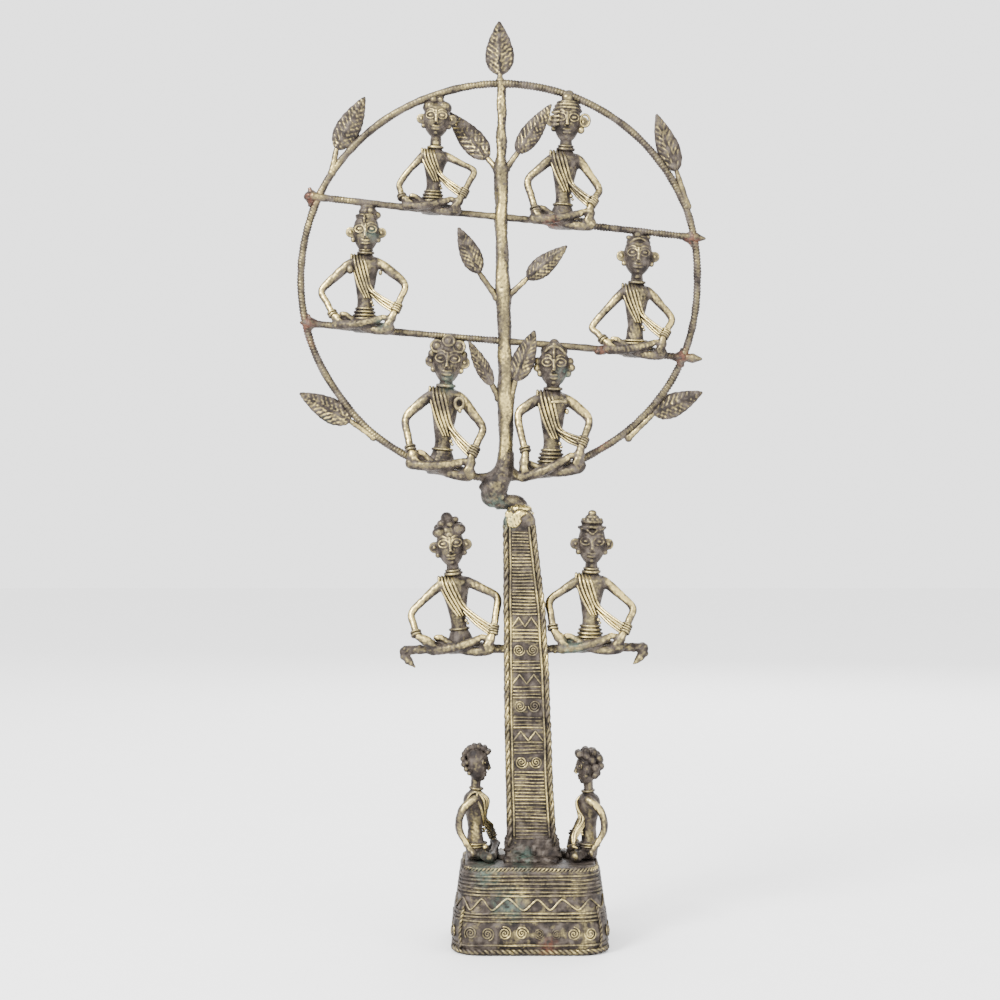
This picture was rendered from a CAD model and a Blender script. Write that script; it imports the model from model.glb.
"""Cast brass tree of life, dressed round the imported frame.

Every length here is in millimetres in the object's own frame until make_piece() turns it into metres.
"""
import math
from collections import namedtuple

import bpy
import numpy as np
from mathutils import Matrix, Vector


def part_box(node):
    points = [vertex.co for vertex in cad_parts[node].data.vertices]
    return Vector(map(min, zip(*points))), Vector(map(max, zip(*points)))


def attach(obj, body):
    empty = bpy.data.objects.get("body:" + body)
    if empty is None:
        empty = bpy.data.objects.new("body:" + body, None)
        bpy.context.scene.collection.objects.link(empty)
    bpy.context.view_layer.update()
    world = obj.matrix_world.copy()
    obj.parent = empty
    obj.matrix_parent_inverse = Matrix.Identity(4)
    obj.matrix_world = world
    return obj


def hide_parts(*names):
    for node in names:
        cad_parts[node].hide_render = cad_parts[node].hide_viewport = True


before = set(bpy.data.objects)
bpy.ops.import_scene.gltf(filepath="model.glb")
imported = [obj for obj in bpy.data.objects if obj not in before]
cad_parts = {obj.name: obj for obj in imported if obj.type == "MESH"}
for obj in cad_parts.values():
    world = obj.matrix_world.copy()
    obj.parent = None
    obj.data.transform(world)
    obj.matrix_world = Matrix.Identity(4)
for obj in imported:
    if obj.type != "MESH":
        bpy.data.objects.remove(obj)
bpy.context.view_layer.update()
MM = 0.001


def box_mm(node):
    """Lowest and highest corners of a CAD node."""
    low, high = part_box(node)
    return np.array(low) / MM, np.array(high) / MM


# ---- Camera, floor and light ----

def make_camera():
    data = bpy.data.cameras.new("camera")
    data.lens = 73.47
    data.sensor_width = 36
    camera = bpy.data.objects.new("camera", data)
    camera.location = (-0.001, -1.0, 0.216)
    camera.rotation_euler = (math.pi / 2, 0, 0)
    bpy.context.collection.objects.link(camera)
    bpy.context.scene.camera = camera


def make_floor():
    reach = 4.0
    mesh = bpy.data.meshes.new("floor")
    corners = [(-reach, -reach, 0), (reach, -reach, 0), (reach, reach, 0), (-reach, reach, 0)]
    mesh.from_pydata(corners, [], [(0, 1, 2, 3)])
    floor = bpy.data.objects.new("floor", mesh)
    bpy.context.collection.objects.link(floor)
    floor.data.materials.append(paper_material())


def make_lamp(name, place, size, watts):
    """Soft lamp that looks at the middle of the tree."""
    data = bpy.data.lights.new(name, "AREA")
    data.size = size
    data.energy = watts
    lamp = bpy.data.objects.new(name, data)
    lamp.location = place
    aim = np.array((0, 0, 0.22)) - np.array(place)
    across = math.atan2(aim[1], aim[0]) - math.pi / 2
    down = math.atan2(math.hypot(aim[0], aim[1]), -aim[2])
    lamp.rotation_euler = (down, 0, across)
    bpy.context.collection.objects.link(lamp)


def make_light():
    world = bpy.data.worlds.new("studio")
    world.use_nodes = True
    sky = world.node_tree.nodes["Background"]
    sky.inputs["Color"].default_value = (1, 1, 1, 1)
    sky.inputs["Strength"].default_value = 2.5
    bpy.context.scene.world = world
    make_lamp("key", (-0.9, -1.1, 1.3), 0.5, 60)
    make_lamp("fill", (1.2, -1.0, 0.5), 0.9, 10)
    make_lamp("back", (0.3, 1.3, 0.9), 0.8, 16)


# ---- Vectors, curves and closed skins ----

def unit(vectors):
    return vectors / np.linalg.norm(vectors, axis=-1, keepdims=True)


def curve(points, step=0.7, closed=False):
    """Smooth curve through points, with a point every `step`."""
    points = np.asarray(points, float)
    if closed:
        ends = np.vstack([points[-1:], points, points[:2]])
    else:
        ends = np.vstack([2 * points[:1] - points[1:2], points, 2 * points[-1:] - points[-2:-1]])
    made = []
    for a, b, c, d in zip(ends, ends[1:], ends[2:], ends[3:]):
        count = max(2, round(np.linalg.norm(c - b) / step))
        t = np.arange(count)[:, None] / count
        made.append(b + (c - a) * t / 2 + (2 * a - 5 * b + 4 * c - d) * t**2 / 2
                    + (3 * b - a - 3 * c + d) * t**3 / 2)
    if not closed:
        made.append(points[-1:])
    return np.concatenate(made)


def travelled(path):
    """Length along a path at each of its points."""
    steps = np.linalg.norm(np.diff(path, axis=0), axis=1)
    return np.concatenate([[0], np.cumsum(steps)])


def side_directions(path, closed):
    """Two directions square to a path at each point, which turn no more than the path does."""
    along = np.roll(path, -1, 0) - np.roll(path, 1, 0) if closed else np.gradient(path, axis=0)
    along = unit(along)
    least = np.eye(3)[np.argmin(np.abs(along[0]))]
    side = np.empty_like(along)
    side[0] = unit(np.cross(along[0], least))
    for i in range(1, len(along)):
        side[i] = side[i - 1] - along[i] * (side[i - 1] @ along[i])
        side[i] /= math.sqrt(side[i] @ side[i])
    return side, np.cross(along, side)


def lattice(points, closed=False):
    """Skin over rings of points, with a middle point in each open end."""
    rings, sides = points.shape[:2]
    index = np.arange(rings * sides).reshape(rings, sides)
    here = index if closed else index[:-1]
    after = np.roll(index, -1, 0) if closed else index[1:]
    quads = np.stack([here, np.roll(here, -1, 1), np.roll(after, -1, 1), after], -1).reshape(-1, 4)
    flat = points.reshape(-1, 3)
    if closed:
        return flat, quads, np.zeros((0, 3), int)
    flat = np.vstack([flat, points[0].mean(0), points[-1].mean(0)])
    first = np.stack([np.roll(index[0], -1), index[0], np.full(sides, rings * sides)], -1)
    last = np.stack([index[-1], np.roll(index[-1], -1), np.full(sides, rings * sides + 1)], -1)
    return flat, quads, np.vstack([first, last])


def sweep(path, radius, sides=8, closed=False):
    """Tube along a path; the radius is one number, one for each point, or one for each point and side."""
    path = np.asarray(path, float)
    side, up = side_directions(path, closed)
    radius = np.asarray(radius, float)
    if radius.ndim == 1:
        radius = radius[:, None]
    angle = np.arange(sides) * math.tau / sides
    round_it = np.cos(angle)[:, None] * side[:, None] + np.sin(angle)[:, None] * up[:, None]
    reach = np.broadcast_to(radius, (len(path), sides))[..., None]
    return lattice(path[:, None] + reach * round_it, closed)


def upright(heights, radii, middle_y, deep, sides):
    """Upright round skin: its radii by height, `deep` times as deep as it is wide."""
    angle = np.arange(sides) * math.tau / sides
    rings = [np.stack([r * np.cos(angle), middle_y + deep * r * np.sin(angle), np.full(sides, z)], -1)
             for z, r in zip(heights, radii)]
    return lattice(np.array(rings))


def ball(centre, radii, rows=9, sides=14):
    """Ball or egg; `radii` is one number or three."""
    tilt = (np.arange(rows) + 0.5) / rows * math.pi
    angle = np.arange(sides) * math.tau / sides
    points = np.stack([np.outer(np.sin(tilt), np.cos(angle)), np.outer(np.sin(tilt), np.sin(angle)),
                       np.outer(-np.cos(tilt), np.ones(sides))], -1)
    return lattice(np.asarray(centre) + points * np.asarray(radii))


def limb(points, radii, sides=12, step=0.8):
    """Round rod along a smooth curve, its radius given at the points it passes."""
    path = curve(points, step)
    length = travelled(path)
    marks = np.linspace(0, 1, len(radii))
    return sweep(path, np.interp(length / length[-1], marks, radii), sides)


def wire_ring(centre, across, upward, radius, thick, sides=8, count=40):
    """Closed wire ring in the plane of two directions; `radius` is one number or two."""
    wide, high = np.broadcast_to(radius, 2)
    angle = np.arange(count) * math.tau / count
    path = (np.asarray(centre) + np.outer(np.cos(angle) * wide, unit(np.asarray(across, float)))
            + np.outer(np.sin(angle) * high, unit(np.asarray(upward, float))))
    return sweep(path, thick, sides, closed=True)


def rope(path, radius, pitch, closed=False):
    """Two strands twisted round a path; `radius` is the whole rope's."""
    path = np.asarray(path, float)
    side, up = side_directions(path, closed)
    turns = travelled(np.vstack([path, path[:1]]) if closed else path)
    if closed:
        pitch = turns[-1] / round(turns[-1] / pitch)
        turns = turns[:-1]
    made = []
    for start in (0, math.pi):
        angle = turns / pitch * math.tau + start
        line = path + radius * 0.46 * (np.cos(angle)[:, None] * side + np.sin(angle)[:, None] * up)
        made.append(sweep(line, radius * 0.6, 7, closed))
    return made


COIL_TURNS = 2.3


def spiral(centre, across, upward, radius, thick, hand):
    """Flat coil of wire that starts at its rim and ends in a bead at its middle."""
    count = round(26 * COIL_TURNS)
    share = np.linspace(0, 1, count)
    reach = (radius - thick) * (1 - share) + 0.35 * share
    angle = hand * share * COIL_TURNS * math.tau
    path = (np.asarray(centre) + np.outer(reach * np.cos(angle), across)
            + np.outer(reach * np.sin(angle), upward))
    return [sweep(path, thick, 6), ball(path[-1], thick * 1.35, 5, 8)]


def ripple(points, wave, seed):
    """Uneven field between about -1 and 1, made of waves in seeded directions."""
    chance = np.random.default_rng(seed)
    total = np.zeros(len(points))
    for _ in range(8):
        direction = unit(chance.normal(size=3)) * math.tau / wave * chance.uniform(0.6, 1.5)
        total += np.sin(points @ direction + chance.uniform(0, math.tau))
    return total / 2.8


class Shape:
    """Closed skins gathered into one mesh, each with how brightly it is rubbed."""

    def __init__(self, *skins, shine=0.0):
        self.points = np.zeros((0, 3))
        self.quads = np.zeros((0, 4), int)
        self.triangles = np.zeros((0, 3), int)
        self.shine = np.zeros(0)
        self.add(*skins, shine=shine)

    def add(self, *skins, shine=0.0):
        for points, quads, triangles in skins:
            start = len(self.points)
            self.points = np.vstack([self.points, points])
            self.quads = np.vstack([self.quads, quads + start])
            self.triangles = np.vstack([self.triangles, triangles + start])
            self.shine = np.append(self.shine, np.broadcast_to(shine, len(points)))
        return self

    def join(self, other):
        return self.add((other.points, other.quads, other.triangles), shine=other.shine)

    def moved(self, change, *how):
        """The same shape with its points passed through a function."""
        return Shape((change(self.points, *how), self.quads, self.triangles), shine=self.shine)

    def edges(self):
        four = [self.quads[:, [i, (i + 1) % 4]] for i in range(4)]
        three = [self.triangles[:, [i, (i + 1) % 3]] for i in range(3)]
        return np.vstack(four + three)

    def normals(self):
        corners = self.points
        q = corners[self.quads]
        t = corners[self.triangles]
        across = np.cross(q[:, 2] - q[:, 0], q[:, 3] - q[:, 1])
        over = np.cross(t[:, 1] - t[:, 0], t[:, 2] - t[:, 0])
        index = np.concatenate([self.quads.ravel(), self.triangles.ravel()])
        total = np.empty_like(corners)
        for axis in range(3):
            weight = np.concatenate([np.repeat(across[:, axis], 4), np.repeat(over[:, axis], 3)])
            total[:, axis] = np.bincount(index, weight, len(corners))
        return total / np.maximum(np.linalg.norm(total, axis=1, keepdims=True), 1e-9)

    def softened(self, rounds):
        """Points drawn towards their neighbours."""
        pairs = self.edges()
        size = len(self.points)
        degree = np.maximum(np.bincount(pairs.ravel(), minlength=size), 1)[:, None]
        points = self.points
        for _ in range(rounds):
            total = np.empty_like(points)
            for axis in range(3):
                total[:, axis] = (np.bincount(pairs[:, 0], points[pairs[:, 1], axis], size)
                                  + np.bincount(pairs[:, 1], points[pairs[:, 0], axis], size))
            points = points + 0.6 * (total / degree - points)
        return points

    def rippled(self, *ripples):
        """Raises and sinks the skin by (depth, wave, seed) ripples."""
        lift = sum(depth * ripple(self.points, wave, seed) for depth, wave, seed in ripples)
        self.points = self.points + self.normals() * lift[:, None]
        return self


def blender_mesh(name, shape, scale):
    mesh = bpy.data.meshes.new(name)
    faces = shape.quads.tolist() + shape.triangles.tolist()
    mesh.from_pydata((shape.points * scale).tolist(), [], faces)
    return mesh


def cast(shape, grain, rounds, rough, seed, shine):
    """One soft skin over everything in a shape, as wax takes it.

    `grain` is the skin's mesh size, `rounds` how often it is softened and `rough` the depth of its ripples.
    """
    source = bpy.data.objects.new("wax", blender_mesh("wax", shape, 1))
    bpy.context.collection.objects.link(source)
    skin = source.modifiers.new("skin", "REMESH")
    skin.mode = "VOXEL"
    skin.voxel_size = grain
    mesh = source.evaluated_get(bpy.context.evaluated_depsgraph_get()).to_mesh()
    points = np.empty(len(mesh.vertices) * 3)
    mesh.vertices.foreach_get("co", points)
    quads = np.array([face.vertices[:] for face in mesh.polygons])
    bpy.data.objects.remove(source)
    made = Shape((points.reshape(-1, 3), quads, np.zeros((0, 3), int)), shine=shine)
    made.points = made.softened(rounds)
    return made.rippled((rough, 2.2, seed), (0.7 * rough, 5.5, seed + 1))


# ---- Patina ----

# Verdigris and coppery stains: place across, height, reach
GREEN_STAINS = [(-4, 212, 7), (3, 206, 5), (-64, 346, 4), (-26, 273, 5), (30, 277, 4), (10, 43, 5),
                (3, 24, 8), (-8, 38, 7), (54, 82, 3), (-58, 302, 4), (-8, 116, 4), (34, 144, 6),
                (-90, 250, 7)]
COPPER_STAINS = [(-94, 364, 5), (-96, 303, 5), (24, 349, 5), (49, 289, 4), (48.5, 244.5, 5),
                 (93, 343, 4), (88, 286, 5), (-98, 292, 6), (22, 4, 5)]


def stain(points, stains, seed):
    """How far each point is stained, from 0 to 1."""
    mask = np.zeros(len(points))
    uneven = 0.75 + 0.25 * ripple(points, 6, seed)
    for across, height, reach in stains:
        away = np.hypot(points[:, 0] - across, points[:, 2] - height) / reach
        mask = np.maximum(mask, np.clip(1.25 - away, 0, 1) * uneven)
    return np.clip(mask, 0, 1)


def wear(shape):
    """How far each point is rubbed bright: outward and raised surfaces more, hollows less."""
    normal = shape.normals()
    bulge = ((shape.points - shape.softened(7)) * normal).sum(1)
    outward = 0.9 * normal[:, 1]**2 + 0.04 * np.abs(normal[:, 0]) + 0.3 * np.clip(normal[:, 2], 0, 1)
    return np.clip(-0.05 + 0.5 * outward + 0.26 * np.clip(bulge / 0.14, -1.4, 1) + shape.shine, 0, 1)


def make_piece(name, shape, material, slot, *nodes):
    """Object for a shape, which stands for CAD nodes."""
    mesh = blender_mesh(name, shape, MM)
    mesh.polygons.foreach_set("use_smooth", np.ones(len(mesh.polygons), bool))
    finish = mesh.color_attributes.new("finish", "FLOAT_COLOR", "POINT")
    masks = [wear(shape), stain(shape.points, GREEN_STAINS, 11), stain(shape.points, COPPER_STAINS, 12),
             np.ones(len(shape.points))]
    finish.data.foreach_set("color", np.stack(masks, -1).ravel())
    mesh.materials.append(material)
    piece = bpy.data.objects.new(name, mesh)
    bpy.context.collection.objects.link(piece)
    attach(piece, "root")
    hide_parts(*nodes)


# ---- Materials ----

class Nodes:
    """Short way to add and join shader nodes."""

    def __init__(self, name):
        self.material = bpy.data.materials.new(name)
        self.material.use_nodes = True
        self.tree = self.material.node_tree
        self.surface = self.tree.nodes["Principled BSDF"]

    def add(self, kind, **sockets):
        node = self.tree.nodes.new(kind)
        for socket, value in sockets.items():
            self.put(node.inputs[socket.replace("_", " ")], value)
        return node

    def put(self, socket, value):
        if isinstance(value, bpy.types.NodeSocket):
            self.tree.links.new(value, socket)
        else:
            socket.default_value = value

    def finish(self, **sockets):
        """Sets the surface's sockets."""
        for socket, value in sockets.items():
            self.put(self.surface.inputs[socket.replace("_", " ")], value)
        return self.material

    def noise(self, scale, detail):
        place = self.add("ShaderNodeTexCoord").outputs["Object"]
        return self.add("ShaderNodeTexNoise", Vector=place, Scale=scale, Detail=detail).outputs["Fac"]

    def calc(self, kind, a, b):
        node = self.tree.nodes.new("ShaderNodeMath")
        node.operation = kind
        self.put(node.inputs[0], a)
        self.put(node.inputs[1], b)
        return node.outputs[0]

    def total(self, first, *others):
        for other in others:
            first = self.calc("ADD", first, other)
        return first

    def swing(self, scale, detail, reach):
        """Noise that swings about zero."""
        return self.calc("MULTIPLY", self.calc("SUBTRACT", self.noise(scale, detail), 0.5), reach)

    def bump(self, scale, strength, distance):
        height = self.noise(scale, 6.0)
        node = self.add("ShaderNodeBump", Height=height, Strength=strength, Distance=distance)
        return node.outputs["Normal"]

    def spread(self, value, low, high, out_low=0.0, out_high=1.0):
        node = self.tree.nodes.new("ShaderNodeMapRange")
        node.interpolation_type = "SMOOTHSTEP"
        for socket, number in zip(node.inputs[:5], (value, low, high, out_low, out_high)):
            self.put(socket, number)
        return node.outputs[0]

    def ramp(self, value, *stops):
        """Colour ramp through (place, red, green, blue) stops."""
        node = self.tree.nodes.new("ShaderNodeValToRGB")
        self.put(node.inputs[0], value)
        points = node.color_ramp.elements
        while len(points) < len(stops):
            points.new(0.5)
        for point, (place, *colour) in zip(points, stops):
            point.position = place
            point.color = (*colour, 1)
        return node.outputs["Color"]

    def blend(self, amount, first, second):
        node = self.tree.nodes.new("ShaderNodeMix")
        node.data_type = "RGBA"
        self.put(node.inputs["Factor"], amount)
        colours = [socket for socket in node.inputs if socket.type == "RGBA"]
        self.put(colours[0], first)
        self.put(colours[1], second)
        return [socket for socket in node.outputs if socket.type == "RGBA"][0]


def brass_material(name, bare, rub):
    """Patinated metal: `bare` is the colour under the patina and `rub` how readily it shows."""
    n = Nodes(name)
    finish = n.add("ShaderNodeAttribute")
    finish.attribute_name = "finish"
    masks = n.add("ShaderNodeSeparateColor", Color=finish.outputs["Color"]).outputs
    uneven = n.total(n.swing(110, 3.0, 0.6), n.swing(900, 5.0, 0.5))
    level = n.total(masks["Red"], uneven, n.swing(38, 2.0, 0.5), rub)
    rubbed = n.spread(level, 0.33, 0.60)
    bright = n.spread(level, 0.54, 0.80)
    patina = n.ramp(n.noise(260, 6.0), (0.34, 0.011, 0.008, 0.007), (0.5, 0.034, 0.026, 0.021),
                    (0.66, 0.085, 0.069, 0.056))
    dull = tuple(0.2 * c + 0.03 for c in bare)
    metal = n.blend(bright, (*dull, 1), (*bare, 1))
    colour = n.blend(rubbed, patina, metal)
    crust = n.calc("MULTIPLY", masks["Green"], n.spread(n.noise(420, 5.0), 0.36, 0.58))
    coppery = n.calc("MULTIPLY", masks["Blue"], n.spread(n.noise(500, 4.0), 0.38, 0.6))
    colour = n.blend(n.calc("MULTIPLY", crust, 0.6), colour, (0.06, 0.11, 0.085, 1))
    colour = n.blend(n.calc("MULTIPLY", coppery, 0.42), colour, (0.20, 0.06, 0.03, 1))
    metallic = n.calc("MULTIPLY", n.spread(rubbed, 0, 1, 0.35, 1.0), n.calc("SUBTRACT", 1.0, crust))
    return n.finish(Base_Color=colour, Metallic=metallic, Roughness=n.spread(level, 0.3, 0.9, 0.58, 0.30),
                    Specular_IOR_Level=0.25, Normal=n.bump(1500, 0.35, 0.0002))


def clay_material():
    n = Nodes("fired_clay")
    colour = n.ramp(n.noise(300, 6.0), (0.3, 0.22, 0.10, 0.055), (0.7, 0.42, 0.22, 0.13))
    return n.finish(Base_Color=colour, Roughness=0.9, Normal=n.bump(900, 0.5, 0.0004))


def paper_material():
    n = Nodes("studio_paper")
    colour = n.ramp(n.noise(40, 2.0), (0.0, 0.90, 0.90, 0.90), (1.0, 0.93, 0.93, 0.93))
    return n.finish(Base_Color=colour, Roughness=0.9)


# ---- Base ----

BASE_LOW, BASE_HIGH = box_mm("base_shell")
BASE_X = (BASE_LOW[0] + BASE_HIGH[0]) / 2
BASE_TOP = BASE_HIGH[2]
BASE_WALL = 3.5
BASE_EDGE = 2.2
BASE_CORNER = 13
BASE_LEVELS = (0, 10, 22, BASE_TOP)
BASE_HALF_WIDTHS = (36, 37.5, 35.2, 32.7)
BASE_HALF_DEPTHS = (33, 34, 31.5, 28)
WIRE = 0.6


def base_outline(z, out=0.0, count=200):
    """Evenly spaced points round the base at a height, and their outward directions."""
    wide = np.interp(z, BASE_LEVELS, BASE_HALF_WIDTHS)
    deep = np.interp(z, BASE_LEVELS, BASE_HALF_DEPTHS)
    run_x = wide - BASE_CORNER
    run_y = deep - BASE_CORNER
    turn = np.linspace(0, math.pi / 2, 20)
    corner = np.stack([np.sin(turn), -np.cos(turn)], -1)
    quarter = np.vstack([[0, -1], corner, [1, 0]])
    centres = np.vstack([[0, -run_y], np.tile([run_x, -run_y], (20, 1)), [run_x, 0]])
    half = np.vstack([centres, centres[-2::-1] * (1, -1)])
    half_out = np.vstack([quarter, quarter[-2::-1] * (1, -1)])
    middle = np.vstack([half, half[-2:0:-1] * (-1, 1)])
    outward = np.vstack([half_out, half_out[-2:0:-1] * (-1, 1)])
    line = middle + outward * (BASE_CORNER + out)
    loop = np.vstack([line, line[:1]])
    length = travelled(loop)
    wanted = np.arange(count) / count * length[-1]
    ways = np.vstack([outward, outward[:1]])
    points = np.stack([np.interp(wanted, length, loop[:, axis]) for axis in range(2)], -1)
    ways = unit(np.stack([np.interp(wanted, length, ways[:, axis]) for axis in range(2)], -1))
    return points + (BASE_X, 0), ways


def base_line(z, out, count, seed, sway):
    """Slightly unsteady line round the base at a height."""
    points, ways = base_outline(z, out, count)
    line = np.column_stack([points, np.full(count, float(z))])
    line[:, 2] += sway * ripple(line, 24, seed)
    return line


def base_shell():
    """Hollow shell: rings from its ceiling down inside, under the foot, up outside and over the top."""
    rings = [(BASE_TOP - BASE_WALL, share, -BASE_WALL) for share in (0.15, 0.5, 0.9)]
    rings += [(z, 1, -BASE_WALL) for z in np.linspace(BASE_TOP - BASE_WALL - 1, 0.4, 12)]
    rings += [(0, 1, -BASE_WALL * 0.7), (0, 1, -0.6)]
    rings += [(z, 1, 0) for z in np.linspace(0.5, BASE_TOP - BASE_EDGE, 46)]
    for lift in np.linspace(0.15, 1, 6):
        bend = lift * math.pi / 2
        rings.append((BASE_TOP - BASE_EDGE + BASE_EDGE * math.sin(bend), 1,
                      -BASE_EDGE * (1 - math.cos(bend))))
    rings += [(BASE_TOP, share, -BASE_EDGE) for share in np.linspace(0.94, 0.06, 16)]
    made = []
    centre = np.array((BASE_X, 0))
    for z, share, out in rings:
        points, _ = base_outline(z, out, 220)
        made.append(np.column_stack([centre + (points - centre) * share, np.full(220, z)]))
    shape = Shape(lattice(np.array(made)), shine=-0.16)
    keep = shape.points[:, 2:] > 1.5
    shape.points = shape.points + keep * shape.normals() * (
        0.16 * ripple(shape.points, 9, 3) + 0.1 * ripple(shape.points, 3.2, 4))[:, None]
    return shape


def base_bands():
    shape = Shape()
    for number, z in enumerate((5.1, 16.4, 18.1, 19.8, 28, 29.7, 31.5, 33.3, 35.1, 36.9)):
        line = base_line(z, WIRE * 0.55, 240, 20 + number, 0.16)
        thick = WIRE * (1 + 0.16 * ripple(line, 14, 40 + number))
        shape.add(sweep(line, thick, 7, closed=True), shine=-0.05)
    return shape


def base_zigzag():
    count = 960
    waves = 19
    points, _ = base_outline(24, WIRE * 0.5, count)
    turn = np.arange(count) / count * waves * math.tau
    line = np.column_stack([points, np.zeros(count)])
    turn = turn + 0.5 * ripple(line, 30, 5)
    swing = np.arcsin(0.85 * np.sin(turn)) / 1.02
    height = 23.9 + (2.5 + 0.35 * ripple(line, 25, 6)) * swing
    outline_low, _ = base_outline(21, WIRE * 0.5, count)
    outline_high, _ = base_outline(27, WIRE * 0.5, count)
    share = ((height - 21) / 6)[:, None]
    path = np.column_stack([outline_low * (1 - share) + outline_high * share, height])
    return Shape(sweep(path, WIRE * 0.9, 7, closed=True), shine=0.02)


def base_coils():
    """Row of coils on each side of the base, between its corner ropes."""
    shape = Shape()
    count = 1200
    height = 10.6
    points, ways = base_outline(height, 0.1, count)
    chance = np.random.default_rng(7)
    pitch = 8.15 / travelled(points)[-1] * count
    for side, coils in enumerate((8, 7, 8, 7)):
        for i in range(coils):
            place = round(side * count / 4 + (i - (coils - 1) / 2) * pitch) % count
            across = np.array((-ways[place][1], ways[place][0], 0))
            upward = unit(np.array((-0.06 * ways[place][0], -0.06 * ways[place][1], 1)))
            worn = side == 0 and i in (4, 5)  # two coils at the front are nearly worn away
            spin = chance.uniform(0, math.tau)
            turned = math.cos(spin) * across + math.sin(spin) * upward
            crossed = math.cos(spin) * upward - math.sin(spin) * across
            centre = (*points[place], height + chance.uniform(-0.3, 0.3))
            reach, thick, shine = (2.8, 0.32, -0.16) if worn else (3.6, 0.44, 0.02)
            shape.add(*spiral(centre, turned, crossed, reach, thick, 1 if i % 2 else -1), shine=shine)
    return shape


def base_foot_rope():
    return Shape(*rope(base_line(1.9, 0.3, 620, 8, 0.0), 1.45, 5.5, closed=True), shine=-0.06)


def base_corner_ropes():
    shape = Shape()
    for side_x in (-1, 1):
        for side_y in (-1, 1):
            line = []
            for z in (3.4, 6, 12, 18, 22.5):
                points, ways = base_outline(z, 0.5, 800)
                wanted = np.array((side_x, side_y)) / math.sqrt(2)
                best = np.argmax(ways @ wanted)
                line.append((*points[best], z))
            shape.add(*rope(curve(line, 0.35), 1.0, 4.6), shine=-0.1)
    return shape


def base_braid():
    """Braid of two wavy wires along the base's top edge."""
    shape = Shape()
    count = 900
    for half in range(2):
        line = base_line(BASE_TOP - 0.9, -0.5, count, 9, 0.1)
        _, ways = base_outline(BASE_TOP - 0.9, 0, count)
        turn = np.arange(count) / count * 58 * math.tau + half * math.pi
        line[:, 2] += 0.75 * np.sin(turn)
        line[:, :2] += ways * (0.35 * np.cos(turn))[:, None]
        shape.add(sweep(line, 0.56, 7, closed=True))
    return shape


def base_plinth():
    """Low slab under the trunk, with a rough spill of metal round it."""
    low, high = box_mm("base_plinth")
    middle = (low + high) / 2
    half = (high - low) / 2
    chance = np.random.default_rng(10)
    shape = Shape(ball(middle, half * (1.12, 1.12, 1.0), 12, 24))
    for _ in range(34):
        spot = chance.uniform(low, high)
        edge = chance.integers(0, 2)
        spot[edge] = (low, high)[chance.integers(0, 2)][edge]
        shape.add(ball((spot[0], spot[1], low[2] + 0.6), chance.uniform(1.3, 2.1), 7, 10))
    shape.add(sweep([(low[0] + 1, 0, low[2] + 0.6), (high[0] - 1, 0, low[2] + 0.6)], 2.0, 8))
    for x in (-7, -3.5, 0, 29.5, 33, 36):
        shape.add(ball((x, chance.uniform(-2, 4), low[2] + 0.8), (2.6, 3.2, chance.uniform(1.6, 3.4)), 9, 12))
    angle = np.arange(48) * math.tau / 48
    circle = np.stack([np.cos(angle), np.sin(angle)], -1)
    square = np.sign(circle) * np.abs(circle)**0.35
    rings = []
    for z, grow in ((low[2] - 0.6, 1.0), (low[2] + 1, 1.0), (high[2] - 0.3, 0.98), (high[2] + 0.2, 0.9)):
        rings.append(np.column_stack([middle[:2] + square * half[:2] * grow, np.full(48, z)]))
    shape.add(lattice(np.array(rings)))
    return cast(shape, 0.55, 3, 0.16, 60, -0.28)


# ---- Trunk ----

TRUNK_FOOT = 42.8
TRUNK_SHOULDER = 205
TRUNK_ARCH = 6.6
TRUNK_FACE = 7.0
ROPE = 1.1
LEFT_EDGE = ((TRUNK_FOOT, 2.6), (118, 1.1), (TRUNK_SHOULDER, 0.6))
RIGHT_EDGE = ((TRUNK_FOOT, 27), (76, 24.8), (118, 23.3), (141, 22.4), (163, 20.8), (194, 17.4),
              (TRUNK_SHOULDER, 16.4))
# Ladders of wires: height of the lowest, count, pitch
LADDERS = ((51.4, 20, 1.7), *((low, 4, 1.7) for low in (92.9, 105.2, 119.8, 132.4, 147.6)), (160.4, 26, 1.6))
TRUNK_ZIGZAGS = (99.5, 127.1, 154.9)
TRUNK_COILS = (88.4, 115.8, 143)


def edge_x(edge, z):
    return np.interp(z, [p[0] for p in edge], [p[1] for p in edge])


def trunk_body():
    rings = []
    side = np.linspace(-1, 1, 13)[:-1]
    one = np.ones(12)
    square = np.concatenate([np.stack([side, -one], -1), np.stack([one, side], -1),
                             np.stack([-side, one], -1), np.stack([-one, -side], -1)])
    for z in np.arange(TRUNK_FOOT - 0.4, TRUNK_SHOULDER, 0.9):
        flare = max(0, 1 - (z - TRUNK_FOOT) / 11)**2
        left = edge_x(LEFT_EDGE, z) - 0.8 * flare
        right = edge_x(RIGHT_EDGE, z) + 2.2 * flare
        rings.append((z, (left + right) / 2, (right - left) / 2, TRUNK_FACE + 1.2 * flare))
    for lift in np.linspace(4, 84, 14):
        bend = math.radians(lift)
        rings.append((TRUNK_SHOULDER + TRUNK_ARCH * math.sin(bend), 8.5, 7.9 * math.cos(bend),
                      TRUNK_FACE * math.cos(bend)**0.35))
    made = []
    for z, middle, half, deep in rings:
        box = square * (half, deep)
        over = np.maximum(np.abs(box) - np.array((half, deep)) + 1.5, 0)
        away = np.linalg.norm(over, axis=1, keepdims=True)
        pull = np.where(away > 1.5, (away - 1.5) / np.maximum(away, 1e-6), 0)
        box = box - np.sign(box) * over * pull
        made.append(np.column_stack([middle + box[:, 0], box[:, 1], np.full(len(box), z)]))
    shape = Shape(lattice(np.array(made)), shine=-0.16)
    return shape.rippled((0.14, 8, 13), (0.08, 2.8, 14)).join(trunk_foot_lumps())


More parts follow.
